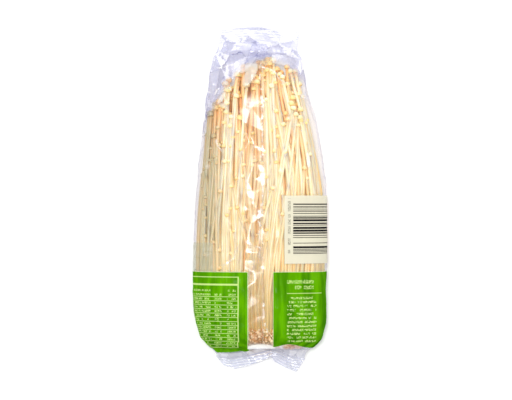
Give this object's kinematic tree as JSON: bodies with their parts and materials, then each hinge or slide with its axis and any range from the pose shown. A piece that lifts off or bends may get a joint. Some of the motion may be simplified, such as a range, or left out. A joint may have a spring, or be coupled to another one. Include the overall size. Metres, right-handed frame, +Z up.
{
  "type": "enoki mushroom bunch in a film bag",
  "caption": "Bunch of long thin enoki mushrooms with small domed caps, fused at the base and sealed in a clear film bag with a lapped back seam and crimped ends.",
  "frame": {"origin": "centre of the pack's footprint, on the surface that it lies on", "axes": "+Y along the bunch from its base to its caps, +Z up out of the back of the pack, +X across it to the right with the caps at the top"},
  "size_m": [0.0839, 0.214, 0.029],
  "materials": {
    "mushroom": "satin, moist cream skin with darker gaps between the stems and a brown cut base",
    "film": "clear glossy film with soft creases, printed in places with green and with milky white"
  },
  "bodies": {
    "root": {"mushroom_bunch": "mushroom", "film_bag": "film"}
  },
  "joints": []
}
